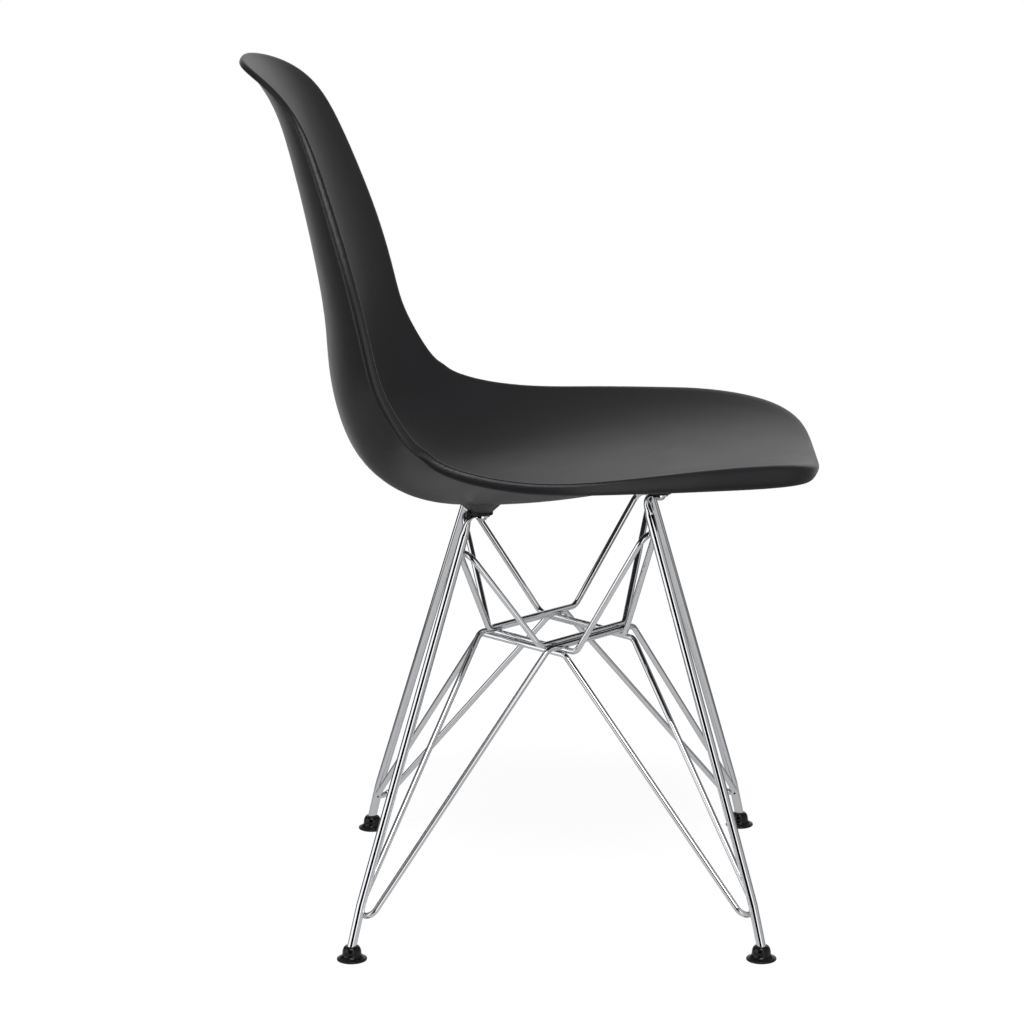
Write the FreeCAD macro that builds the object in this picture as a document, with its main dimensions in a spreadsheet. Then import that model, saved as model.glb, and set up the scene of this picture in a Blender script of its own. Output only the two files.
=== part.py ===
"""Moulded plastic shell chair on a chromed wire base.

Millimetres, +Z up. The chair faces -Y and its left side is +X. Sizes along Y are measured
from the middle of the base, and the finished parts are moved so that the origin lies on the
floor under the middle of the whole chair.
"""
import FreeCAD, Part
import math
import os
import Sketcher

from FreeCAD import Placement, Rotation, Vector

os.makedirs("parts", exist_ok=True)
doc = FreeCAD.newDocument("shell_chair")

# Stations of the shell, from the top of the back to the front edge of the seat. Each has its
# place along the profile (0 to 1), the centre line's y and z, the half width between the
# rims, the height by which the rims stand above the centre line, and the depth of the rim.
STATIONS = [
    ("crown", 0.00, 288.5, 830.5, 178.0, 51.0, 7.0),
    ("nape", 0.045, 261.0, 793.0, 183.0, 48.5, 5.8),
    ("upper", 0.09, 246.2, 751.5, 182.0, 42.0, 8.0),
    ("chest", 0.20, 217.5, 617.5, 218.0, 45.5, 10.5),
    ("loin", 0.31, 211.0, 544.0, 226.5, 58.0, 10.5),
    ("lumbar", 0.41, 198.5, 483.0, 220.5, 71.8, 10.5),
    ("heel", 0.49, 171.0, 440.0, 216.0, 75.0, 10.5),
    ("hollow", 0.56, 123.3, 414.8, 218.0, 72.5, 10.5),
    ("pan", 0.64, 50.0, 413.0, 225.0, 56.5, 11.0),
    ("seat", 0.76, -48.5, 427.0, 223.5, 39.0, 13.0),
    ("thigh", 0.90, -186.0, 448.5, 178.0, 22.0, 22.3),
    ("brink", 1.00, -249.5, 447.0, 184.0, 24.0, 10.5),
]

SIZES = [
    # Shell
    ("shell_wall", 4.0),
    ("dish_power", 2.4),
    ("back_round", 0.201),
    ("back_power", 2.2),
    ("front_round", 0.16),
    ("front_power", 2.2),
    ("lip_reach_share", 0.6),
    ("lip_wall", 3.6),
    ("lip_lean", 0.25),
    # Mounts of the base under the shell
    ("rear_mount_x", 82.2),
    ("front_mount_x", 87.2),
    ("rear_mount_y", 69.0),
    ("front_mount_y", -100.5),
    ("rear_boss_z", 406.3),
    ("front_boss_z", 426.8),
    ("boss_end_radius", 11.0),
    ("boss_flank_angle", 48.0),
    ("pad_thick", 2.7),
    ("pad_radius", 11.2),
    ("pad_tongue", 3.2),
    ("tongue_width", 12.0),
    ("tongue_drop", 7.0),
    ("tongue_round", 3.0),
    ("tab_thick", 2.2),
    ("tab_width", 16.6),
    ("hole_clearance", 0.3),
    ("washer_thick", 1.0),
    ("washer_radius", 6.4),
    ("screw_radius", 3.0),
    ("screw_engaged", 6.0),
    ("head_radius", 5.4),
    ("head_height", 3.4),
    ("hex_socket", 4.0),
    ("hex_depth", 2.0),
    ("insert_radius", 4.6),
    ("insert_length", 8.0),
    # Legs
    ("leg_dia", 9.0),
    ("knee_z", 50.0),
    ("rear_knee_x", 192.7),
    ("rear_knee_y", 184.4),
    ("front_knee_x", 196.7),
    ("front_knee_y", -185.5),
    ("knee_radius", 45.0),
    ("rear_reach", 11.0),
    ("front_reach", 14.5),
    ("rear_top_radius", 10.0),
    ("front_top_radius", 6.0),
    ("forge_length", 13.0),
    # Feet
    ("rear_foot_x", 201.5),
    ("front_foot_x", 206.0),
    ("foot_y", 193.0),
    ("foot_height", 17.5),
    ("foot_radius", 14.6),
    ("foot_flange", 2.0),
    ("foot_waist_radius", 9.3),
    ("foot_neck_radius", 7.0),
    ("foot_sole", 5.5),
    ("foot_pivot_z", 13.0),
    ("foot_fit", 0.1),
    # Wires of the base and the waist where they cross
    ("wire_dia", 6.0),
    ("weld_sink", 0.15),
    ("waist_z", 273.6),
    ("waist_half_width", 60.2),
    ("waist_y", -8.7),
    ("waist_front_y", -65.3),
    ("waist_rear_y", 50.0),
    ("pair_step_out", 4.7),
    ("pair_step_down", 3.6),
    ("upper_side_over", 33.2),
    ("upper_far_over", 17.0),
    ("upper_front_over", 5.0),
    ("upper_rear_over", 20.4),
    ("lower_side_over", 26.5),
    ("lower_far_over", 6.3),
    ("lower_front_over", 12.1),
    ("lower_rear_over", 28.0),
    ("wire_bend_radius", 10.0),
    ("upper_hairpin_radius", 12.3),
    ("lower_hairpin_radius", 10.5),
    ("rear_low_weld_z", 42.0),
    ("front_low_weld_z", 42.5),
    ("rear_high_weld_z", 369.3),
    ("front_high_weld_z", 387.9),
]
for name, _, *measures in STATIONS:
    SIZES += zip([name + "_" + kind for kind in ("y", "z", "half", "rise", "roll")], measures)

sheet = doc.addObject("Spreadsheet::Sheet", "Sizes")
for row, (alias, value) in enumerate(SIZES, 1):
    sheet.set(f"A{row}", alias)
    sheet.set(f"B{row}", str(value))
    sheet.setAlias(f"B{row}", alias)
doc.recompute()


def size(alias):
    """Value of one cell of the sheet."""
    return float(sheet.get(alias))


def unit(vector):
    """Copy of a vector with length one."""
    return Vector(vector) / vector.Length


def feature(name, shape):
    """Document object that holds a finished shape."""
    made = doc.addObject("Part::Feature", name)
    made.Shape = shape
    return made


# Shell surface
def spline(*kinds):
    """Curve through two or three sizes of every station, run over the stations' places."""
    points = [Vector(*[size(s[0] + kind) for kind in kinds]) for s in STATIONS]
    curve = Part.BSplineCurve()
    curve.interpolate(Points=points, Parameters=[s[1] for s in STATIONS])
    return curve


centre_line = spline("_y", "_z")
rim_sizes = spline("_half", "_rise", "_roll")
ROWS = 40
COLUMNS = 12
places = [(1 - math.cos(math.pi * row / ROWS)) / 2 for row in range(ROWS + 1)]


def outline_half(place):
    """Half width of the shell's outline, rounded off at both ends."""
    half = rim_sizes.value(place).x
    top = max(0.0, 1 - place / size("back_round"))
    front = max(0.0, 1 - (1 - place) / size("front_round"))
    half *= max(0.0, 1 - top ** size("back_power")) ** (1 / size("back_power"))
    return half * max(0.0, 1 - front ** size("front_power")) ** (1 / size("front_power"))


def seat_point(place, x):
    """Point of the sitting surface at a place along the profile."""
    middle = centre_line.value(place)
    along = unit(centre_line.tangent(place)[0])
    half, rise, _ = rim_sizes.value(place)
    height = rise * abs(x / half) ** size("dish_power")
    return Vector(x, middle.x + height * along.y, middle.y - height * along.x)


def seat_normal(place, x):
    """Direction from the shell towards the sitter."""
    step = 0.002
    along = seat_point(min(1, place + step), x) - seat_point(max(0, place - step), x)
    across = seat_point(place, x + 1.0) - seat_point(place, x - 1.0)
    return unit(along.cross(across))


def rim_frame(row, side):
    """Outline point, outward direction and normal at one row."""
    place = places[row]
    point = seat_point(place, side * outline_half(place))
    normal = seat_normal(place, point.x)
    if row in (0, ROWS):
        run = Vector(side if row == 0 else -side, 0, 0)
    else:
        ends = [place - 0.05 * (place - places[row - 1]), place + 0.05 * (places[row + 1] - place)]
        before, after = [seat_point(end, side * outline_half(end)) for end in ends]
        run = after - before
    return point, unit(normal.cross(run)) * side, normal


def sheet_row(row, depth):
    """Points across the shell at one row, at a depth below the sitting surface."""
    place = places[row]
    edge = outline_half(place)
    line = [edge * (2 * column / COLUMNS - 1) for column in range(COLUMNS + 1)]
    return [seat_point(place, x) - seat_normal(place, x) * depth for x in line]


def lip_row(row, side):
    """Section of the rolled lip at one row, from the upper to the lower face of the shell."""
    drop = rim_sizes.value(places[row]).z
    reach = size("lip_reach_share") * drop
    wall, under = size("lip_wall"), size("shell_wall")
    inside = reach - wall
    lean = size("lip_lean") * drop
    section = [
        (0, 0), (0.35 * reach, 0), (0.80 * reach, 0.10 * reach), (reach, 0.50 * reach),
        (reach - 0.4 * lean, 0.75 * drop), (reach - lean, drop),
        (inside - lean + 0.5 * wall, 1.02 * drop), (inside - lean, drop),
        (inside - 0.4 * lean, 0.80 * drop), (inside, under + 0.45 * (drop - under)),
        (0.80 * inside, under + 0.3), (0.35 * inside, under), (0, under)]
    point, out, normal = rim_frame(row, side)
    return [point + out * across - normal * down for across, down in section]


def curve_poles(points):
    """Control points of the cubic curve through evenly timed points, or of a single point."""
    if points[0].isEqual(points[-1], 1e-6):
        return [points[0]] * (len(points) + 2)
    curve = Part.BSplineCurve()
    curve.interpolate(Points=points, Parameters=list(range(len(points))))
    return curve.getPoles()


def clamped(count):
    """Knot multiplicities of a cubic with that many knots."""
    return [4] + [1] * (count - 2) + [4]


def skin_face(rows, through_rows):
    """Cubic face through the rows, each a line of points or of control points."""
    lines = [curve_poles(row) for row in rows] if through_rows else rows
    net = [curve_poles(list(line)) for line in zip(*lines)]
    across, along = len(net) - 2, len(net[0]) - 2
    surface = Part.BSplineSurface()
    surface.buildFromPolesMultsKnots(
        net, clamped(across), clamped(along), list(range(across)), list(range(along)),
        False, False, 3, 3)
    return surface.toShape()


every_row = range(ROWS + 1)
skin = Part.makeShell([
    skin_face([sheet_row(row, 0) for row in every_row], True),
    skin_face([sheet_row(row, size("shell_wall")) for row in every_row], True),
    skin_face([lip_row(row, 1) for row in every_row], False),
    skin_face([lip_row(row, -1) for row in every_row], False)])
skin.sewShape()
bare_shell = Part.makeSolid(skin.Shells[0])
if bare_shell.Volume < 0:
    bare_shell.reverse()

CORNERS = [(side, end) for side in ("right", "left") for end in ("rear", "front")]
SIGN = {"right": -1, "left": 1}


def mount(side, end):
    """Centre of a boss's end face, where the spacer pad lies against the shell."""
    return Vector(SIGN[side] * size(end + "_mount_x"), size(end + "_mount_y"), size(end + "_boss_z"))


def boss(side, end):
    """Conical boss from the shell's underside down to its spacer pad."""
    tall = 40.0
    spread = size("boss_end_radius") + tall * math.tan(math.radians(size("boss_flank_angle")))
    cone = Part.makeCone(size("boss_end_radius"), spread, tall, mount(side, end))
    return min(cone.cut(bare_shell).Solids, key=lambda piece: piece.CenterOfMass.z)


def insert_hole(side, end):
    """Blind hole for a threaded insert."""
    return Part.makeCylinder(size("insert_radius"), size("insert_length"), mount(side, end))


shell_shape = bare_shell.multiFuse([boss(*corner) for corner in CORNERS])
shell_shape = shell_shape.cut([insert_hole(*corner) for corner in CORNERS])
if len(shell_shape.Solids) == 1:
    shell_shape = shell_shape.Solids[0]
seat_shell = feature("seat_shell", shell_shape)


# Turned pieces
def value_of(expression):
    """Number that an expression of the sheet's aliases gives."""
    return float(getattr(sheet.evalExpression(expression), "Value", sheet.evalExpression(expression)))


def profile(body, points):
    """Closed sketch in the body's XZ plane, each corner held by two expressions."""
    sketch = body.newObject("Sketcher::SketchObject", body.Name + "_profile")
    plane = [datum for datum in body.Origin.OriginFeatures if datum.Role == "XZ_Plane"][0]
    sketch.AttachmentSupport = [(plane, "")]
    sketch.MapMode = "FlatFace"
    spots = [Vector(value_of(across), value_of(up), 0) for across, up in points]
    count = len(spots)
    for index in range(count):
        sketch.addGeometry(Part.LineSegment(spots[index], spots[(index + 1) % count]), False)
    for index in range(count):
        sketch.addConstraint(Sketcher.Constraint("Coincident", index, 2, (index + 1) % count, 1))
    for index, (across, up) in enumerate(points):
        for kind, axis, text in (("DistanceX", -2, across), ("DistanceY", -1, up)):
            if text == "0":
                sketch.addConstraint(Sketcher.Constraint("PointOnObject", index, 1, axis))
                continue
            place = sketch.addConstraint(
                Sketcher.Constraint(kind, -1, 1, index, 1, value_of(text)))
            sketch.setExpression(f"Constraints[{place}]", text)
    return sketch


def turned(name, points):
    """Body turned about its own Z axis from a profile of expressions."""
    body = doc.addObject("PartDesign::Body", name)
    sketch = profile(body, points)
    turn = body.newObject("PartDesign::Revolution", name + "_turn")
    turn.Profile = sketch
    turn.ReferenceAxis = (sketch, ["V_Axis"])
    turn.Angle = 360
    doc.recompute()
    return body


def hang_at_mount(piece, side, end, below):
    """Places a piece on a mount's axis, a given expression below the boss's end face."""
    sign = "-" if side == "right" else ""
    piece.setExpression(".Placement.Base.x", f"{sign}Sizes.{end}_mount_x")
    piece.setExpression(".Placement.Base.y", f"Sizes.{end}_mount_y")
    piece.setExpression(".Placement.Base.z", f"Sizes.{end}_boss_z - ({below})")
    return piece


def ring(name, inner, outer, tall):
    """Turned ring that stands on its own XY plane."""
    return turned(name, [(inner, "0"), (outer, "0"), (outer, tall), (inner, tall)])


def insert(side, end):
    """Threaded metal insert, flush with the boss's end face."""
    piece = ring(f"insert_{end}_{side}", "Sizes.screw_radius", "Sizes.insert_radius",
                 "Sizes.insert_length")
    return hang_at_mount(piece, side, end, "0")


def washer(side, end):
    """Plain washer under the leg's tab."""
    piece = ring(f"washer_{end}_{side}", "Sizes.screw_radius + Sizes.hole_clearance",
                 "Sizes.washer_radius", "Sizes.washer_thick")
    return hang_at_mount(
        piece, side, end, "Sizes.pad_thick + Sizes.tab_thick + Sizes.washer_thick")


def screw(side, end):
    """Button-head screw with a hexagon socket, its head's seat on its own XY plane."""
    name = f"screw_{end}_{side}"
    top = ("(Sizes.washer_thick + Sizes.tab_thick + Sizes.pad_thick"
           " + Sizes.screw_engaged)")
    shank = "Sizes.screw_radius"
    head = "Sizes.head_radius"
    blank = turned(name + "_blank", [
        ("0", "-Sizes.head_height"), ("0.55 * " + head, "-Sizes.head_height"),
        ("0.88 * " + head, "-0.6 * Sizes.head_height"), (head, "-0.15 * Sizes.head_height"),
        (head, "0"), (shank, "0"), (shank, top + " - 0.8"), (shank + " - 0.8", top), ("0", top)])
    socket = doc.addObject("Part::Prism", name + "_socket")
    socket.Polygon = 6
    socket.setExpression("Circumradius", "Sizes.hex_socket / sqrt(3)")
    socket.setExpression("Height", "Sizes.hex_depth")
    socket.setExpression(".Placement.Base.z", "-Sizes.head_height")
    piece = doc.addObject("Part::Cut", name)
    piece.Base = blank
    piece.Tool = socket
    return hang_at_mount(
        piece, side, end, "Sizes.pad_thick + Sizes.tab_thick + Sizes.washer_thick")


# Legs
def leg_line(side, end):
    """Corner points of a leg's axis: end in the foot, knee, bend at the top, mount axis."""
    sign = SIGN[side]
    knee = Vector(sign * size(end + "_knee_x"), size(end + "_knee_y"), size("knee_z"))
    front = -1 if end == "front" else 1
    pivot = Vector(sign * size(end + "_foot_x"), front * size("foot_y"), size("foot_pivot_z"))
    down = unit(pivot - knee)
    low = knee + down * ((size("knee_z") - size("foot_sole")) / -down.z)
    hub = mount(side, end) - Vector(0, 0, size("pad_thick") + size("tab_thick") / 2)
    return low, knee, hub + Vector(0, size(end + "_reach"), 0), hub


def bend(before, corner, after, radius):
    """Tangent arc that rounds a corner of a path."""
    back, ahead = unit(before - corner), unit(after - corner)
    half = back.getAngle(ahead) / 2
    bisector = unit(back + ahead)
    middle = corner + bisector * (radius / math.sin(half) - radius)
    reach = radius / math.tan(half)
    return Part.Arc(corner + back * reach, middle, corner + ahead * reach)


def leg_section(point, along, wide, thick):
    """Elliptic section of a leg, its wide axis as close to X as the axis allows."""
    across = unit(Vector(1, 0, 0) - along * along.x)
    rim = Part.Ellipse(Vector(), wide, min(wide, thick)).toShape()
    rim.Placement = Placement(point, Rotation(across, along.cross(across), along, "ZXY"))
    return Part.Wire(rim)


def leg(side, end):
    """Leg rod with a knee above the foot and a forged tab under the shell."""
    radius = size("leg_dia") / 2
    low, knee, corner, hub = leg_line(side, end)
    knee_arc = bend(low, knee, corner, size("knee_radius"))
    top_arc = bend(knee, corner, hub, size(end + "_top_radius"))
    rise = unit(corner - knee)
    forged_from = top_arc.StartPoint - rise * size("forge_length")
    path = Part.Wire([
        Part.LineSegment(low, knee_arc.StartPoint).toShape(), knee_arc.toShape(),
        Part.LineSegment(knee_arc.EndPoint, forged_from).toShape()])
    round_end = Part.Wire(Part.Circle(low, unit(knee - low), radius).toShape())
    rod = path.makePipeShell([round_end], True, False)

    flat_wide, flat_thick = size("tab_width") / 2, size("tab_thick") / 2
    stops = [(forged_from, rise, 0.0), ((forged_from + top_arc.StartPoint) / 2, rise, 0.2)]
    for share, flatness in ((0.0, 0.45), (0.25, 0.65), (0.5, 0.82), (0.75, 0.94), (1.0, 0.97)):
        place = top_arc.FirstParameter + share * (top_arc.LastParameter - top_arc.FirstParameter)
        stops.append((top_arc.value(place), unit(top_arc.tangent(place)[0]), flatness))
    sections = [
        leg_section(point, along, radius + (flat_wide - radius) * flatness,
                    radius + (flat_thick - radius) * flatness)
        for point, along, flatness in stops]
    forged = Part.makeLoft(sections, True, False)

    start = top_arc.EndPoint
    plate = Part.makeBox(2 * flat_wide, start.y - hub.y, 2 * flat_thick,
                         Vector(hub.x - flat_wide, hub.y, hub.z - flat_thick))
    nose = Part.makeCylinder(flat_wide, 2 * flat_thick, hub - Vector(0, 0, flat_thick))
    hole = Part.makeCylinder(size("screw_radius") + size("hole_clearance"),
                             4 * flat_thick, hub - Vector(0, 0, 2 * flat_thick))
    whole = rod.multiFuse([forged, plate, nose]).removeSplitter().cut(hole)
    return feature(f"leg_{end}_{side}", whole.Solids[0])


def spacer_pad(side, end, leg_piece):
    """Round pad between tab and boss; the rear ones reach down behind the leg's bend."""
    top = mount(side, end)
    thick = size("pad_thick")
    pad = Part.makeCylinder(size("pad_radius"), thick, top - Vector(0, 0, thick))
    if end == "rear":
        wide, reach = size("tongue_width"), size("rear_reach")
        deep = thick + size("tongue_drop")
        bridge = Part.makeBox(wide, reach, thick, top - Vector(wide / 2, 0, thick))
        tongue = Part.makeBox(wide, 1 + size("pad_tongue"), deep,
                              top + Vector(-wide / 2, reach - 1, -deep))
        back = max(edge.CenterOfMass.y for edge in tongue.Edges)
        rim = [edge for edge in tongue.Edges
               if edge.CenterOfMass.z > top.z - 0.01 and edge.CenterOfMass.y > back - 0.01]
        pad = pad.multiFuse([bridge, tongue.makeFillet(size("tongue_round"), rim)])
    hole = Part.makeCylinder(size("screw_radius") + size("hole_clearance"), 4 * thick,
                             top - Vector(0, 0, 2 * thick))
    pieces = pad.cut([hole, leg_piece.Shape]).Solids
    return feature(f"spacer_pad_{end}_{side}", max(pieces, key=lambda piece: piece.Volume))


# Feet
def foot(side, end):
    """Push-on foot cap, its bore in line with the leg's lower end."""
    name = f"foot_{end}_{side}"
    flange, neck = "Sizes.foot_radius", "Sizes.foot_neck_radius"
    waist, tall = "Sizes.foot_waist_radius", "Sizes.foot_height"
    blank = turned(name + "_blank", [
        ("0", "0"), (flange + " - 0.8", "0"), (flange, "0.8"), (flange, "Sizes.foot_flange"),
        (waist + " + 1.6", "Sizes.foot_flange + 1.1"), (waist, "Sizes.foot_flange + 2.6"),
        (waist + " - 0.6", "0.70 * " + tall), (waist + " - 1.3", "0.86 * " + tall),
        (neck, "0.95 * " + tall), (neck + " - 0.8", tall), ("0", tall)])
    low, knee, _, _ = leg_line(side, end)
    bore = doc.addObject("Part::Cylinder", name + "_bore")
    bore.setExpression("Radius", "Sizes.leg_dia / 2 + Sizes.foot_fit")
    bore.Height = (knee - low).Length
    bore.Placement = Placement(low, Rotation(Vector(0, 0, 1), knee - low))
    blank.setExpression(".Placement.Base.x", f"{SIGN[side]} * Sizes.{end}_foot_x")
    blank.setExpression(".Placement.Base.y", ("-" if end == "front" else "") + "Sizes.foot_y")
    piece = doc.addObject("Part::Cut", name)
    piece.Base = blank
    piece.Tool = bore
    return piece


# Wire loops
def touch_point(side, end, height, aim):
    """Axis point of a wire that lies against the inner side of a leg at a height."""
    low, knee, corner, _ = leg_line(side, end)
    start, stop = (knee, corner) if height > knee.z else (low, knee)
    along = unit(stop - start)
    point = start + along * ((height - start.z) / along.z)
    inward = aim - point
    inward -= along * inward.dot(along)
    gap = (size("leg_dia") + size("wire_dia")) / 2 - size("weld_sink")
    return point + unit(inward) * gap


def hairpin_corner(touch, one, other, radius):
    """Corner whose rounding arc passes through the touch point."""
    corner = touch
    for _ in range(8):
        half = (one - corner).getAngle(other - corner) / 2
        outward = -unit(unit(one - corner) + unit(other - corner))
        corner = touch + outward * radius * (1 / math.sin(half) - 1)
    return corner


def waist_side(start, stop, outward):
    """Side of the waist's diamond, moved outwards, with its running direction."""
    along = unit(stop - start)
    square = Vector(along.y, -along.x, 0)
    if square.dot(start - Vector(0, size("waist_y"), start.z)) < 0:
        square = -square
    return start + square * outward, stop + square * outward, along


def loop(name, band, rear_side, level):
    """Closed bent wire from a rear leg to the front leg diagonally opposite."""
    front_side = "left" if rear_side == "right" else "right"
    sign = SIGN[rear_side]
    outward = size("pair_step_out") if band == "lower" else 0.0
    near = Vector(sign * size("waist_half_width"), size("waist_y"), level)
    far = Vector(-near.x, near.y, level)
    front = Vector(0, size("waist_front_y"), level)
    rear = Vector(0, size("waist_rear_y"), level)
    start, stop, along = waist_side(near, front, outward)
    near = start - along * size(band + "_side_over")
    front = stop + along * size(band + "_front_over")
    start, stop, along = waist_side(rear, far, outward)
    rear = start - along * size(band + "_rear_over")
    far = stop + along * size(band + "_far_over")

    weld = "high_weld_z" if band == "upper" else "low_weld_z"
    aim = Vector(0, size("waist_y"), size("waist_z"))
    radius = size(band + "_hairpin_radius")
    rear_touch = touch_point(rear_side, "rear", size("rear_" + weld), aim)
    front_touch = touch_point(front_side, "front", size("front_" + weld), aim)
    bend_radius = size("wire_bend_radius")
    path = [
        (hairpin_corner(rear_touch, near, rear, radius), radius), (near, bend_radius),
        (front, bend_radius), (hairpin_corner(front_touch, front, far, radius), radius),
        (far, bend_radius), (rear, bend_radius)]
    return feature(name, closed_wire(path))


def closed_wire(path):
    """Round wire along a closed path of straight runs and tangent bends."""
    count = len(path)
    radius = size("wire_dia") / 2
    arcs = [bend(path[index - 1][0], path[index][0], path[(index + 1) % count][0], path[index][1])
            for index in range(count)]
    runs = []
    for index, arc in enumerate(arcs):
        along = unit(arc.tangent(arc.FirstParameter)[0])
        end = Part.Face(Part.Wire(Part.Circle(arc.StartPoint, along, radius).toShape()))
        circle = arc.toShape().Curve
        turn = math.degrees(arc.LastParameter - arc.FirstParameter)
        runs.append(end.revolve(circle.Center, circle.Axis, turn))
        straight = arcs[(index + 1) % count].StartPoint - arc.EndPoint
        runs.append(Part.makeCylinder(radius, straight.Length, arc.EndPoint, straight))
    return runs[0].multiFuse(runs[1:]).Solids[0]


parts = [seat_shell]
for corner in CORNERS:
    leg_piece = leg(*corner)
    parts += [leg_piece, spacer_pad(*corner, leg_piece), insert(*corner), washer(*corner),
              screw(*corner), foot(*corner)]

pair_down = size("pair_step_down")
crossing_down = size("wire_dia") - size("weld_sink")
levels = {"right": size("waist_z"), "left": size("waist_z") - pair_down - crossing_down}
for rear_side, level in levels.items():
    parts.append(loop(f"loop_upper_rear_{rear_side}", "upper", rear_side, level))
    parts.append(loop(f"loop_lower_rear_{rear_side}", "lower", rear_side, level - pair_down))

doc.recompute()
for made in doc.Objects:
    if "Invalid" in made.State or "Error" in made.State:
        raise RuntimeError(f"{made.Label} did not compute: {made.State}")
depth_span = seat_shell.Shape.optimalBoundingBox()
to_origin = Vector(0, -(depth_span.YMin + depth_span.YMax) / 2, 0)
print("moved along Y by", round(to_origin.y, 2))
for piece in parts:
    shape = piece.Shape
    if shape.isNull() or not shape.isValid() or len(shape.Solids) != 1:
        raise RuntimeError(f"{piece.Label} is not one sound solid")
    shape = shape.copy()
    shape.translate(to_origin)
    shape.exportStep(f"parts/{piece.Label}.step")
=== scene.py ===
# %% [markdown]
# # A moulded shell chair on a chromed wire base
#
# The chair is a black polypropylene shell on a base of bent and welded steel rod. Its solids
# come from the CAD model. This lesson gives them their finishes, adds rounder foot caps and the
# weld beads that are too fine for the solids, and lights and frames them as a studio
# photographer would.

# %% Load the model
import math

import bmesh
import bpy
from mathutils import Matrix, Vector, noise
from mathutils.bvhtree import BVHTree
from mathutils.geometry import interpolate_bezier


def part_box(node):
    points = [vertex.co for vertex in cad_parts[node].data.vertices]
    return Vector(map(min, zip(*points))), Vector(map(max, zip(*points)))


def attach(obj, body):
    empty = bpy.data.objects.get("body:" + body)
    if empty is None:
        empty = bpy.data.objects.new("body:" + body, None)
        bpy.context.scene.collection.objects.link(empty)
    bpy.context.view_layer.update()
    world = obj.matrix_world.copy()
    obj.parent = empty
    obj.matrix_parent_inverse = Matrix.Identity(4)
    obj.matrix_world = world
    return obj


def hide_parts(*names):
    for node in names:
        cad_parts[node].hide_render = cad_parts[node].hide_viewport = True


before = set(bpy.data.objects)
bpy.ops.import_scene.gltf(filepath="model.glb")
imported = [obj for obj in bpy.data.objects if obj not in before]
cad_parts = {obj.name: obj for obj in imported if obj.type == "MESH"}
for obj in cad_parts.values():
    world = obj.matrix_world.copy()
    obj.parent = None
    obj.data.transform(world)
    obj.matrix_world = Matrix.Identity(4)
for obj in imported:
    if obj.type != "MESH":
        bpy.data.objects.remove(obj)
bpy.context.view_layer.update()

# %% [markdown]
# A material starts from what the real one is. Colours are written as the sRGB hex values that
# a colour picker shows, and one function turns them to the linear values that a shader adds
# and multiplies. A second function adds a node with its settings and its links, so each
# material reads as a short list of nodes, and a third feeds the last of them to the shader.
# Patterns are sized in millimetres: a noise scale is one over the distance between its bumps,
# in metres.

# %% Helpers for materials
def linear(hex_colour):
    """Linear RGBA of an sRGB colour such as '#3c3c3d'."""
    channels = [int(hex_colour[start:start + 2], 16) / 255 for start in (1, 3, 5)]
    return [c / 12.92 if c <= 0.04045 else ((c + 0.055) / 1.055) ** 2.4 for c in channels] + [1]


def per_metre(spacing_mm):
    """Noise scale for bumps this many millimetres apart."""
    return 1000 / spacing_mm


def new_material(name):
    """New node material, with its node tree and its Principled shader."""
    material = bpy.data.materials.new(name)
    material.use_nodes = True
    return material, material.node_tree, material.node_tree.nodes["Principled BSDF"]


def add_node(tree, kind, settings=None, links=None):
    """Node of a kind, with its settings, its values and what feeds its inputs."""
    node = tree.nodes.new(kind)
    for key, value in (settings or {}).items():
        if isinstance(key, int) or key in node.inputs:
            node.inputs[key].default_value = value
        else:
            setattr(node, key, value)
    for key, source in (links or {}).items():
        tree.links.new(source, node.inputs[key])
    return node


def feed_shader(tree, shader, tone, gloss, bump=None):
    """Link a finish's tone, gloss and bump to its shader."""
    tree.links.new(tone.outputs[2], shader.inputs["Base Color"])
    tree.links.new(gloss.outputs[0], shader.inputs["Roughness"])
    if bump:
        tree.links.new(bump.outputs["Normal"], shader.inputs["Normal"])


print("A dark grey, #212124, as linear light:", [round(c, 4) for c in linear("#212124")])

# %% [markdown]
# A new piece is shaped as a bmesh, the mesh that Blender's edit mode works on. Once it has its
# shape, one function turns it into an object at the origin, shaded smooth, in its finish.

# %% Helper for pieces
def piece_from(bm, name, finish):
    """Smooth object at the origin, made from a bmesh that is then freed."""
    for face in bm.faces:
        face.smooth = True
    mesh = bpy.data.meshes.new(name)
    bm.to_mesh(mesh)
    bm.free()
    mesh.materials.append(finish)
    piece = bpy.data.objects.new(name, mesh)
    bpy.context.scene.collection.objects.link(piece)
    print("Made", name, "with", len(mesh.polygons), "faces")
    return piece


print("Pieces are linked to", bpy.context.scene.collection.name)

# %% [markdown]
# The shell is polypropylene, coloured through and moulded in one shot against a finely etched
# steel tool. The etching breaks up the gloss, so highlights are broad and soft, and tiny
# pits only show where light grazes them. Real pits are about 0.3 mm apart, which this picture
# can't show, so they are drawn at 0.9 mm. Slow swirls, some centimetres wide, are where the
# melt cooled unevenly: they change the gloss a little, and hardly the colour. The specular
# level is a little under the usual 0.5, matched to the dark sheens of the photograph.

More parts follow.
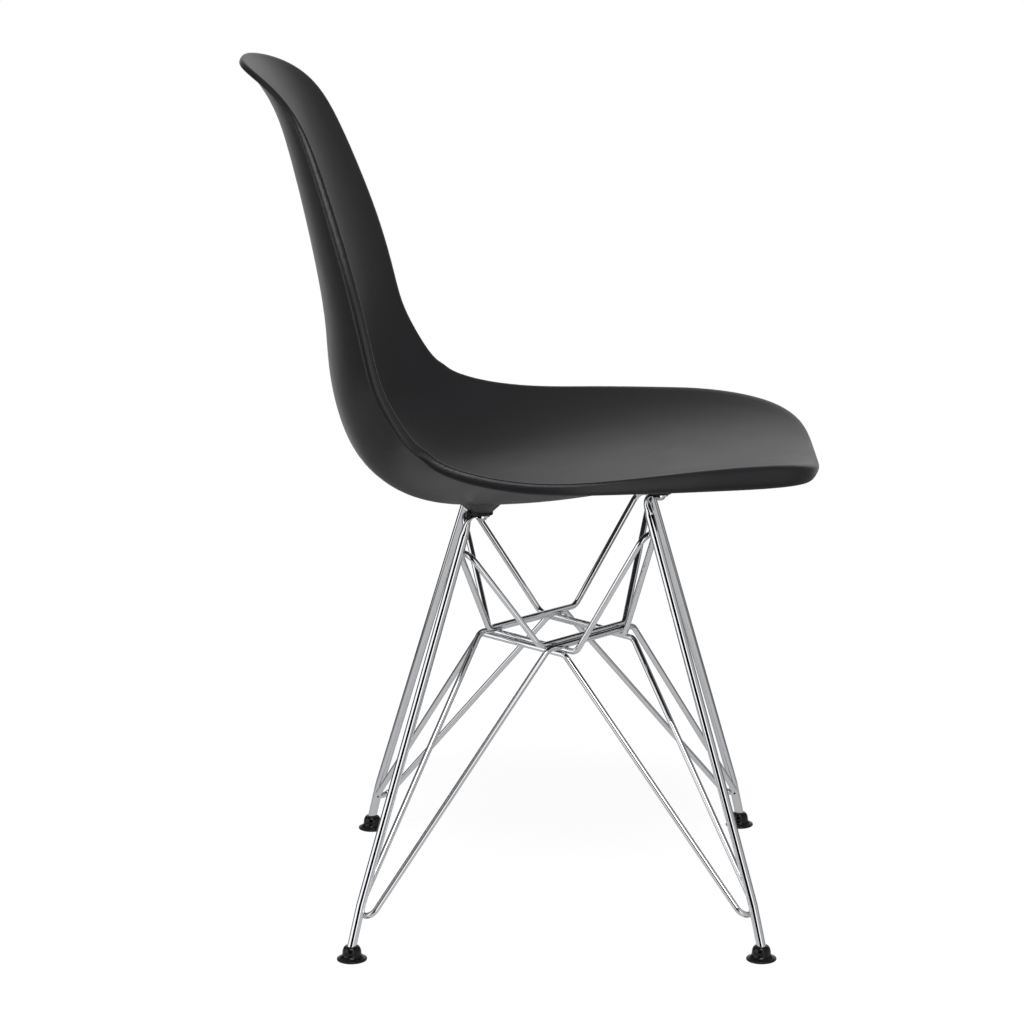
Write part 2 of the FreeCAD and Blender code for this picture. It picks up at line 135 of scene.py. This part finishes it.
# %% Shell plastic
def moulded_polypropylene():
    """Black polypropylene with a fine etched texture and faint flow marks."""
    material, tree, shader = new_material("moulded_polypropylene")
    shader.inputs["IOR"].default_value = 1.49
    shader.inputs["Specular IOR Level"].default_value = 0.4
    place = add_node(tree, "ShaderNodeTexCoord")
    pits = add_node(tree, "ShaderNodeTexNoise", {"Scale": per_metre(0.9), "Detail": 3.0},
                    {"Vector": place.outputs["Object"]})
    flow = add_node(tree, "ShaderNodeTexNoise", {"Scale": per_metre(70), "Detail": 2.0,
                                                 "Distortion": 0.6},
                    {"Vector": place.outputs["Object"]})
    tone = add_node(tree, "ShaderNodeMix", {"data_type": "RGBA", 6: linear("#212124"),
                                            7: linear("#262629")}, {0: flow.outputs["Fac"]})
    gloss = add_node(tree, "ShaderNodeMapRange", {"To Min": 0.29, "To Max": 0.37},
                     {"Value": flow.outputs["Fac"]})
    bump = add_node(tree, "ShaderNodeBump", {"Strength": 0.06, "Distance": 0.0002},
                    {"Height": pits.outputs["Fac"]})
    feed_shader(tree, shader, tone, gloss, bump)
    return material


shell_plastic = moulded_polypropylene()
print("Made", shell_plastic.name)

# %% [markdown]
# The base is bright chrome: drawn steel rod, polished, then plated with nickel and chromium.
# It mirrors the room, so it is almost all highlight and dark stripe. The polishing leaves a
# faint waviness about 9 mm long, and the plating a haze in places, so the stripes waver
# slightly and are never ruler-sharp.

# %% Chrome plating
def chrome_plating():
    """Bright chrome plating on polished drawn steel."""
    material, tree, shader = new_material("chrome_plating")
    shader.inputs["Metallic"].default_value = 1.0
    place = add_node(tree, "ShaderNodeTexCoord")
    haze = add_node(tree, "ShaderNodeTexNoise", {"Scale": per_metre(12), "Detail": 3.0},
                    {"Vector": place.outputs["Object"]})
    waves = add_node(tree, "ShaderNodeTexNoise", {"Scale": per_metre(9), "Detail": 1.0},
                     {"Vector": place.outputs["Object"]})
    tone = add_node(tree, "ShaderNodeMix", {"data_type": "RGBA", 6: linear("#e8e9ec"),
                                            7: linear("#dcdde0")}, {0: haze.outputs["Fac"]})
    gloss = add_node(tree, "ShaderNodeMapRange", {"To Min": 0.0, "To Max": 0.03},
                     {"Value": haze.outputs["Fac"]})
    bump = add_node(tree, "ShaderNodeBump", {"Strength": 0.02, "Distance": 0.0003},
                    {"Height": waves.outputs["Fac"]})
    feed_shader(tree, shader, tone, gloss, bump)
    return material


chrome = chrome_plating()
print("Made", chrome.name)

# %% [markdown]
# The foot caps are polyethylene, injection moulded in a polished tool, so their highlights are
# sharper than the shell's. They are darker too, so their specular level is lower. Where a cap
# rubs the floor its gloss is worn off and it turns a little grey: height above the floor
# drives that wear.

# %% Foot cap plastic
WEAR_HEIGHT = 0.004


def glossy_polyethylene():
    """Glossy black injection-moulded polyethylene, worn matt at the sole."""
    material, tree, shader = new_material("glossy_polyethylene")
    shader.inputs["IOR"].default_value = 1.51
    shader.inputs["Specular IOR Level"].default_value = 0.3
    place = add_node(tree, "ShaderNodeTexCoord")
    split = add_node(tree, "ShaderNodeSeparateXYZ", {}, {"Vector": place.outputs["Object"]})
    scuffs = add_node(tree, "ShaderNodeTexNoise", {"Scale": per_metre(2), "Detail": 4.0},
                      {"Vector": place.outputs["Object"]})
    low = add_node(tree, "ShaderNodeMapRange",
                   {"From Max": WEAR_HEIGHT, "To Min": 1.0, "To Max": 0.0},
                   {"Value": split.outputs["Z"]})
    wear = add_node(tree, "ShaderNodeMath", {"operation": "MULTIPLY"},
                    {0: low.outputs[0], 1: scuffs.outputs["Fac"]})
    tone = add_node(tree, "ShaderNodeMix", {"data_type": "RGBA", 6: linear("#101011"),
                                            7: linear("#2c2c2d")}, {0: wear.outputs[0]})
    gloss = add_node(tree, "ShaderNodeMapRange", {"To Min": 0.17, "To Max": 0.6},
                     {"Value": wear.outputs[0]})
    bump = add_node(tree, "ShaderNodeBump", {"Strength": 0.05, "Distance": 0.0002},
                    {"Height": scuffs.outputs["Fac"]})
    feed_shader(tree, shader, tone, gloss, bump)
    return material


foot_plastic = glossy_polyethylene()
print("Made", foot_plastic.name)

# %% [markdown]
# The spacer pads are compression-moulded rubber. Rubber is matt, with a grain of fine pits
# and a pale bloom where wax has come to the surface. The grain is drawn at 1 mm so that it
# shows at all.

# %% Pad rubber
def moulded_rubber():
    """Matt black rubber with fine grain and a faint bloom."""
    material, tree, shader = new_material("moulded_rubber")
    shader.inputs["IOR"].default_value = 1.52
    place = add_node(tree, "ShaderNodeTexCoord")
    grain = add_node(tree, "ShaderNodeTexNoise", {"Scale": per_metre(1), "Detail": 4.0},
                     {"Vector": place.outputs["Object"]})
    bloom = add_node(tree, "ShaderNodeTexNoise", {"Scale": per_metre(8), "Detail": 2.0},
                     {"Vector": place.outputs["Object"]})
    tone = add_node(tree, "ShaderNodeMix", {"data_type": "RGBA", 6: linear("#121212"),
                                            7: linear("#202021")}, {0: bloom.outputs["Fac"]})
    gloss = add_node(tree, "ShaderNodeMapRange", {"To Min": 0.5, "To Max": 0.75},
                     {"Value": grain.outputs["Fac"]})
    bump = add_node(tree, "ShaderNodeBump", {"Strength": 0.2, "Distance": 0.0002},
                    {"Height": grain.outputs["Fac"]})
    feed_shader(tree, shader, tone, gloss, bump)
    return material


pad_rubber = moulded_rubber()
print("Made", pad_rubber.name)

# %% [markdown]
# Screws and washers are bright zinc plated in a barrel. The tumbling leaves the plating
# slightly dull, and the passivation bath gives it patches of cool and warm grey a few
# millimetres wide.

# %% Zinc plating
def barrel_zinc_plating():
    """Barrel zinc plating with passivation patches."""
    material, tree, shader = new_material("barrel_zinc_plating")
    shader.inputs["Metallic"].default_value = 1.0
    place = add_node(tree, "ShaderNodeTexCoord")
    patches = add_node(tree, "ShaderNodeTexNoise", {"Scale": per_metre(3), "Detail": 3.0},
                       {"Vector": place.outputs["Object"]})
    tone = add_node(tree, "ShaderNodeMix", {"data_type": "RGBA", 6: linear("#b9bec6"),
                                            7: linear("#cfccc2")}, {0: patches.outputs["Fac"]})
    gloss = add_node(tree, "ShaderNodeMapRange", {"To Min": 0.2, "To Max": 0.42},
                     {"Value": patches.outputs["Fac"]})
    feed_shader(tree, shader, tone, gloss)
    return material


zinc = barrel_zinc_plating()
print("Made", zinc.name)

# %% [markdown]
# The threaded inserts inside the bosses are turned from brass bar. The tool leaves rings, one
# for each turn of the work: about 0.4 mm apart, drawn by a wave texture along the height. At a
# scale of 1 that texture draws 20 bands in 2 pi metres.

# %% Turned brass
BANDS_PER_METRE = 20 / math.tau


def turned_brass():
    """Brass turned from bar, with fine tool rings."""
    material, tree, shader = new_material("turned_brass")
    shader.inputs["Metallic"].default_value = 1.0
    place = add_node(tree, "ShaderNodeTexCoord")
    rings = add_node(tree, "ShaderNodeTexWave",
                     {"bands_direction": "Z", "Scale": per_metre(0.4) / BANDS_PER_METRE,
                      "Distortion": 0.5},
                     {"Vector": place.outputs["Object"]})
    tone = add_node(tree, "ShaderNodeMix", {"data_type": "RGBA", 6: linear("#c9a45c"),
                                            7: linear("#b48c48")}, {0: rings.outputs["Fac"]})
    gloss = add_node(tree, "ShaderNodeMapRange", {"To Min": 0.22, "To Max": 0.36},
                     {"Value": rings.outputs["Fac"]})
    feed_shader(tree, shader, tone, gloss)
    return material


brass = turned_brass()
print("Made", brass.name)

# %% [markdown]
# Each CAD node keeps its shape and takes its finish by the start of its name.

# %% Dress the nodes
FINISHES = {"seat_shell": shell_plastic, "leg": chrome, "loop": chrome, "foot": foot_plastic,
            "spacer_pad": pad_rubber, "screw": zinc, "washer": zinc, "insert": brass}

for node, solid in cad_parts.items():
    finish = next(FINISHES[kind] for kind in FINISHES if node.startswith(kind))
    for slot in solid.material_slots:
        slot.material = finish
    print(node, "->", finish.name)

# %% [markdown]
# On the real base every wire is resistance or TIG welded where it touches a leg, and the
# metal that melts out stands as a small bead in the corner between them, then is plated with
# the rest. The places aren't typed in: where the surfaces of a leg and a loop cross, the
# triangles that overlap say where the weld is. Triangles within 12 mm belong to one weld.

# %% Find the welds
WELD_REACH = 0.012


def triangle_tree(solid):
    """Search tree over a solid's triangles, and their middles."""
    bm = bmesh.new()
    bm.from_mesh(solid.data)
    triangles = BVHTree.FromBMesh(bm)
    middles = [face.calc_center_median() for face in bm.faces]
    bm.free()
    return triangles, middles


def weld_places(leg, loop):
    """Middles of the places where a loop's surface crosses a leg's."""
    leg_triangles, _ = triangle_tree(leg)
    loop_triangles, loop_middles = triangle_tree(loop)
    groups = []
    for _, crossing in leg_triangles.overlap(loop_triangles):
        middle = loop_middles[crossing]
        near = next((group for group in groups if (group[0] - middle).length < WELD_REACH), None)
        if near is None:
            groups.append([middle])
        else:
            near.append(middle)
    return [sum(group, Vector()) / len(group) for group in groups]


legs = {name: solid for name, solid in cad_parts.items() if name.startswith("leg")}
loops = {name: solid for name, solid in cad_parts.items() if name.startswith("loop")}
leg_welds = [(name, place) for name, leg in legs.items() for loop in loops.values()
             for place in weld_places(leg, loop)]
for name, place in leg_welds:
    print("Weld on", name, "at", [round(1000 * c, 1) for c in place], "mm")

# %% [markdown]
# A bead lies along its leg, so the leg's direction comes first. The middle of the leg's points
# nearest to one height, and to another, give two places on its straight run.

# %% Directions of the legs
LOW_CUT = 0.12
HIGH_CUT = 0.34
POINTS_AT_CUT = 24


def middle_at(leg, height):
    """Middle of a leg's points that are nearest to a height."""
    points = sorted((vertex.co for vertex in leg.data.vertices),
                    key=lambda point: abs(point.z - height))[:POINTS_AT_CUT]
    return sum(points, Vector()) / len(points)


leg_directions = {name: (middle_at(leg, HIGH_CUT) - middle_at(leg, LOW_CUT)).normalized()
                  for name, leg in legs.items()}
for name, along in leg_directions.items():
    print(name, "leans", round(math.degrees(along.angle(Vector((0, 0, 1)))), 1), "degrees")

# %% [markdown]
# A bead starts as a ball, is stretched along the leg and pinched across it, and gets the
# slight ripple of metal that froze as it flowed. The ripple comes from a noise function, which
# gives the same bead on every run. All beads are one piece.

# %% Weld beads
BEAD_HALF_LENGTH = 0.0052
BEAD_RADIUS = 0.0021
RIPPLE_SIZE = 0.0016
RIPPLE_HEIGHT = 0.00018


def add_bead(bm, place, along):
    """Rippled bead of weld metal, stretched along a direction."""
    turn = along.to_track_quat("Z", "Y").to_matrix().to_4x4()
    shape = Matrix.Diagonal((BEAD_RADIUS, BEAD_RADIUS, BEAD_HALF_LENGTH, 1))
    ball = bmesh.ops.create_icosphere(bm, subdivisions=3, radius=1,
                                      matrix=Matrix.Translation(place) @ turn @ shape)
    for vertex in ball["verts"]:
        outward = (vertex.co - place).normalized()
        vertex.co += outward * RIPPLE_HEIGHT * noise.noise(vertex.co / RIPPLE_SIZE)


bm = bmesh.new()
for name, place in leg_welds:
    add_bead(bm, place, leg_directions[name])
beads = piece_from(bm, "weld_beads", chrome)
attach(beads, "root")

# %% [markdown]
# A foot cap is a soft dome on a flat round sole, pushed on from below until its lip closes on
# the rod. The CAD node has a taller, plainer dome with its bore. What shows here is the dome,
# so half of its outline is drawn once, from the middle of the sole to the lip. Each round
# stretch leaves its start towards a corner and reaches its end from there, on a Bezier curve
# whose handles stand 55% of the way to the corner, which is what makes it round.

# %% Outline of a foot cap
SOLE_RADIUS = 0.0144
SOLE_THICKNESS = 0.0021
SOLE_EDGE_ROUND = 0.0008
SWEEP_CORNER = 0.0029
DOME_RADIUS = 0.0091
DOME_START = 0.0066
CAP_HEIGHT = 0.0140
LIP_RADIUS = 0.0054
LIP_ROUND = 0.0009
ROUND_HANDLE = 0.55


def round_stretch(start, corner, stop, steps):
    """Points of a round stretch, without its start. Each place is a radius and a height."""
    start, corner, stop = (Vector((radius, 0, height)) for radius, height in (start, corner, stop))
    return interpolate_bezier(start, start.lerp(corner, ROUND_HANDLE),
                              stop.lerp(corner, ROUND_HANDLE), stop, steps + 1)[1:]


sole_flat = SOLE_RADIUS - SOLE_EDGE_ROUND
mouth = LIP_RADIUS - LIP_ROUND
cap_outline = [Vector(), Vector((sole_flat, 0, 0))]
for stretch in (
        ((sole_flat, 0), (SOLE_RADIUS, 0), (SOLE_RADIUS, SOLE_THICKNESS / 2), 2),
        ((SOLE_RADIUS, SOLE_THICKNESS / 2), (SOLE_RADIUS, SOLE_THICKNESS),
         (sole_flat, SOLE_THICKNESS), 2),
        ((sole_flat, SOLE_THICKNESS), (DOME_RADIUS, SWEEP_CORNER), (DOME_RADIUS, DOME_START), 5),
        ((DOME_RADIUS, DOME_START), (DOME_RADIUS, CAP_HEIGHT), (LIP_RADIUS, CAP_HEIGHT), 6),
        ((LIP_RADIUS, CAP_HEIGHT), (mouth, CAP_HEIGHT), (mouth, CAP_HEIGHT - LIP_ROUND), 3)):
    cap_outline += round_stretch(*stretch)
cap_outline.append(Vector((0, 0, CAP_HEIGHT - LIP_ROUND)))
print("Cap outline:", len(cap_outline), "points")

# %% [markdown]
# The outline is spun round the middle of each foot node. A Screw modifier could turn it too,
# but the spin leaves a finished mesh. The points at the poles are merged, and inside the lip
# the top is closed, because the rod fills it.

# %% Foot caps
CAP_STEPS = 48
MERGE_REACH = 0.000001


def spun_cap(node):
    """Foot cap spun round the middle of the CAD node that it replaces."""
    low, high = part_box(node)
    middle = (low + high) / 2
    middle.z = 0
    bm = bmesh.new()
    outline = [bm.verts.new(middle + point) for point in cap_outline]
    edges = [bm.edges.new(pair) for pair in zip(outline, outline[1:])]
    bmesh.ops.spin(bm, geom=outline + edges, cent=middle, axis=(0, 0, 1), angle=math.tau,
                   steps=CAP_STEPS, use_merge=True)
    bmesh.ops.remove_doubles(bm, verts=bm.verts, dist=MERGE_REACH)
    bmesh.ops.recalc_face_normals(bm, faces=bm.faces)
    return piece_from(bm, "cap_" + node, foot_plastic)


feet = [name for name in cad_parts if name.startswith("foot")]
for node in feet:
    cap = spun_cap(node)
    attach(cap, "root")
    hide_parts(node)

# %% [markdown]
# The photograph was taken from the chair's right side, from a little above and several paces
# away, with a long lens. The camera looks 13 degrees down and is rolled by half a degree. Its
# matrix is built from the direction it looks in, because that says what each number means:
# yaw, pitch and roll are in radians.

# %% Camera
CAMERA_PLACE = Vector((-3.458344, -0.022588, 1.179999))
CAMERA_YAW = 0.0124074
CAMERA_PITCH = 0.2255094
CAMERA_ROLL = -0.0085145
LENS_MM = 128.05
SENSOR_MM = 36.0

ahead = Vector((math.cos(CAMERA_PITCH) * math.cos(CAMERA_YAW),
                math.cos(CAMERA_PITCH) * math.sin(CAMERA_YAW), -math.sin(CAMERA_PITCH)))
right = ahead.cross(Vector((0, 0, 1))).normalized()
upward = right.cross(ahead)
turned_right = right * math.cos(CAMERA_ROLL) + upward * math.sin(CAMERA_ROLL)
turned_up = upward * math.cos(CAMERA_ROLL) - right * math.sin(CAMERA_ROLL)
camera = bpy.data.objects.new("camera", bpy.data.cameras.new("camera"))
camera.data.lens = LENS_MM
camera.data.sensor_width = SENSOR_MM
camera.matrix_world = Matrix.Translation(CAMERA_PLACE) @ Matrix(
    (turned_right, turned_up, -ahead)).transposed().to_4x4()
bpy.context.scene.collection.objects.link(camera)
bpy.context.scene.camera = camera
print("Camera", round(CAMERA_PLACE.length, 2), "m from the chair's middle on the floor")

# %% [markdown]
# The floor is a sheet of white paper, 2.2 m square. Beyond it the world is just as white to
# the camera, so no edge shows. The camera sees a steady glow and a little real light, which
# the chair's shadow takes away. Chrome and plastic mirror the same paper only as a painted
# pool of light round the chair's near side: a glow painted into the paper for mirrored rays,
# full within 0.45 m of a point on the camera's side of the chair and gone at 0.8 m. It puts
# soft greys on the far legs. The back of the sheet is clear, so the chair can be looked at
# from below.

# %% White paper
SEEN_GLOW = 0.88
MIRRORED_GLOW = 0.43
SHADE = 0.30
POOL_MIDDLE = (-0.25, 0, 0)
POOL_FULL = 0.45
POOL_EDGE = 0.80


def white_paper():
    """Matt white paper that shows white, keeps a soft shadow and mirrors as a painted pool of
    light.
    """
    material, tree, shader = new_material("white_paper")
    tree.nodes.remove(shader)
    rays = add_node(tree, "ShaderNodeLightPath")
    mirrored = add_node(tree, "ShaderNodeMath", {"operation": "MAXIMUM"}, {
        0: rays.outputs["Is Glossy Ray"], 1: rays.outputs["Is Transmission Ray"]})
    seen = add_node(tree, "ShaderNodeMath", {"operation": "MAXIMUM"}, {
        0: rays.outputs["Is Camera Ray"], 1: mirrored.outputs[0]})
    place = add_node(tree, "ShaderNodeTexCoord")
    off_pool = add_node(tree, "ShaderNodeVectorMath", {"operation": "DISTANCE", 1: POOL_MIDDLE},
                        {0: place.outputs["Object"]})
    # Painted light: a pool of glow that only mirrored rays see, fading from POOL_FULL to
    # POOL_EDGE.
    painted_light_pool = add_node(tree, "ShaderNodeMapRange", {
        "interpolation_type": "SMOOTHSTEP", "From Min": POOL_FULL, "From Max": POOL_EDGE,
        "To Min": MIRRORED_GLOW, "To Max": 0.0}, {"Value": off_pool.outputs["Value"]})
    glow_level = add_node(tree, "ShaderNodeMix", {"data_type": "FLOAT", 2: SEEN_GLOW},
                          {0: mirrored.outputs[0], 3: painted_light_pool.outputs[0]})
    plain = add_node(tree, "ShaderNodeBsdfDiffuse", {"Color": linear("#bcbcbc")})
    shade = add_node(tree, "ShaderNodeBsdfDiffuse", {"Color": [SHADE] * 3 + [1]})
    glow = add_node(tree, "ShaderNodeEmission", {}, {"Strength": glow_level.outputs[0]})
    shown = add_node(tree, "ShaderNodeAddShader", {}, {0: shade.outputs[0], 1: glow.outputs[0]})
    choice = add_node(tree, "ShaderNodeMixShader", {}, {
        "Fac": seen.outputs[0], 1: plain.outputs[0], 2: shown.outputs[0]})
    side = add_node(tree, "ShaderNodeNewGeometry")
    clear = add_node(tree, "ShaderNodeBsdfTransparent")
    sheet = add_node(tree, "ShaderNodeMixShader", {}, {
        "Fac": side.outputs["Backfacing"], 1: choice.outputs[0], 2: clear.outputs[0]})
    tree.links.new(sheet.outputs[0], tree.nodes["Material Output"].inputs["Surface"])
    return material


paper = white_paper()
print("Made", paper.name)

# %% [markdown]
# The sheet itself is a grid of one face, which needs no more because it is flat.

# %% Floor
FLOOR_HALF_SIZE = 1.1

bm = bmesh.new()
bmesh.ops.create_grid(bm, x_segments=1, y_segments=1, size=FLOOR_HALF_SIZE)
floor = piece_from(bm, "floor", paper)

# %% [markdown]
# Chrome shows the room, so the room has to be right. Black plastic shows it too, as soft
# sheens. Round the horizon stand white screens and black flats. Each place on the ring is a
# share of a full turn: 0 and 1 are behind the chair, 0.25 is on the camera's right, 0.5 at the
# camera and 0.75 on its left. From 0 on there are the backdrop, a dark flat, a grey screen, a
# narrow bright one beside the camera, the black gap that the camera looks through, a bright
# screen, a darker flat and the backdrop again. The gap is the black line down each rod.

# %% Ring of screens
BACKDROP = 0.70
LEFT_SCREEN = 1.3
RIGHT_SCREEN = 0.50
LEFT_FLAT = 0.07
RIGHT_FLAT = 0.18
NEAR_SCREEN = 1.4
CAMERA_GAP = 0.005
RING = [(0.00, BACKDROP), (0.07, BACKDROP), (0.11, RIGHT_FLAT), (0.205, RIGHT_FLAT),
        (0.25, RIGHT_SCREEN), (0.40, RIGHT_SCREEN), (0.42, NEAR_SCREEN), (0.468, NEAR_SCREEN),
        (0.475, CAMERA_GAP), (0.62, CAMERA_GAP), (0.63, LEFT_SCREEN), (0.75, LEFT_SCREEN),
        (0.795, LEFT_FLAT), (0.915, LEFT_FLAT), (0.955, BACKDROP)]


def grey_ramp(tree, value, stops):
    """Grey ramp over a value from 0 to 1."""
    ramp = add_node(tree, "ShaderNodeValToRGB", {}, {"Fac": value})
    ramp.color_ramp.interpolation = "EASE"
    elements = ramp.color_ramp.elements
    while len(elements) < len(stops):
        elements.new(0.5)
    for element, (place, grey) in zip(elements, stops):
        element.position = place
        element.color = (grey, grey, grey, 1)
    return ramp.outputs["Color"]


world = bpy.data.worlds.new("studio")
bpy.context.scene.world = world
world.use_nodes = True
tree = world.node_tree
direction = add_node(tree, "ShaderNodeTexCoord").outputs["Generated"]
split = add_node(tree, "ShaderNodeSeparateXYZ", {}, {"Vector": direction})
towards_camera = add_node(tree, "ShaderNodeMath", {"operation": "MULTIPLY", 1: -1.0},
                          {0: split.outputs["X"]})
bearing = add_node(tree, "ShaderNodeMath", {"operation": "ARCTAN2"},
                   {0: split.outputs["Y"], 1: towards_camera.outputs[0]})
turn = add_node(tree, "ShaderNodeMapRange", {"From Min": -math.pi, "From Max": math.pi},
                {"Value": bearing.outputs[0]})
ring = grey_ramp(tree, turn.outputs[0], RING)
print("Screens:", len(RING), "stops")

# %% [markdown]
# Above the ring hangs a broad dim ceiling, and in it one round soft box, above the camera's
# side of the chair. The ceiling fills the shadows. The soft box draws the thin bright line
# along the rolled rim and along the top of each wire. The height at which the ring gives way
# to the ceiling is the sine of its angle above the horizon, and the soft box ends where the
# cosine of the angle from its middle does. The camera itself sees plain white.

# %% Ceiling and soft box
CEILING = 0.22
RING_TOP = 0.45
CEILING_EDGE = 0.65
SOFT_BOX = 5.0
SOFT_BOX_TILT = math.radians(35)
SOFT_BOX_OUTER = 0.955
SOFT_BOX_INNER = 0.975

ceiling_share = grey_ramp(tree, split.outputs["Z"], [(RING_TOP, 0.0), (CEILING_EDGE, 1.0)])
room = add_node(tree, "ShaderNodeMix", {"data_type": "RGBA", 7: (CEILING, CEILING, CEILING, 1)},
                {0: ceiling_share, 6: ring})
box_axis = (-math.sin(SOFT_BOX_TILT), 0, math.cos(SOFT_BOX_TILT))
facing_box = add_node(tree, "ShaderNodeVectorMath", {"operation": "DOT_PRODUCT", 1: box_axis},
                      {0: direction})
box_share = add_node(tree, "ShaderNodeMapRange",
                     {"From Min": SOFT_BOX_OUTER, "From Max": SOFT_BOX_INNER},
                     {"Value": facing_box.outputs["Value"]})
lit_room = add_node(tree, "ShaderNodeMix", {
    "data_type": "RGBA", 7: (SOFT_BOX, SOFT_BOX, SOFT_BOX, 1)},
    {0: box_share.outputs[0], 6: room.outputs[2]})
rays = add_node(tree, "ShaderNodeLightPath")
shown = add_node(tree, "ShaderNodeMix", {"data_type": "RGBA", 7: (1, 1, 1, 1)},
                 {0: rays.outputs["Is Camera Ray"], 6: lit_room.outputs[2]})
tree.links.new(shown.outputs[2], tree.nodes["Background"].inputs["Color"])
tree.nodes["Background"].inputs["Strength"].default_value = 1.0
print("Soft box", SOFT_BOX, "ceiling", CEILING)

# %% [markdown]
# The Standard view transform shows a colour as it is written. A film-like one would turn the
# white paper grey.

# %% View transform
bpy.context.scene.view_settings.view_transform = "Standard"
print("View transform:", bpy.context.scene.view_settings.view_transform)
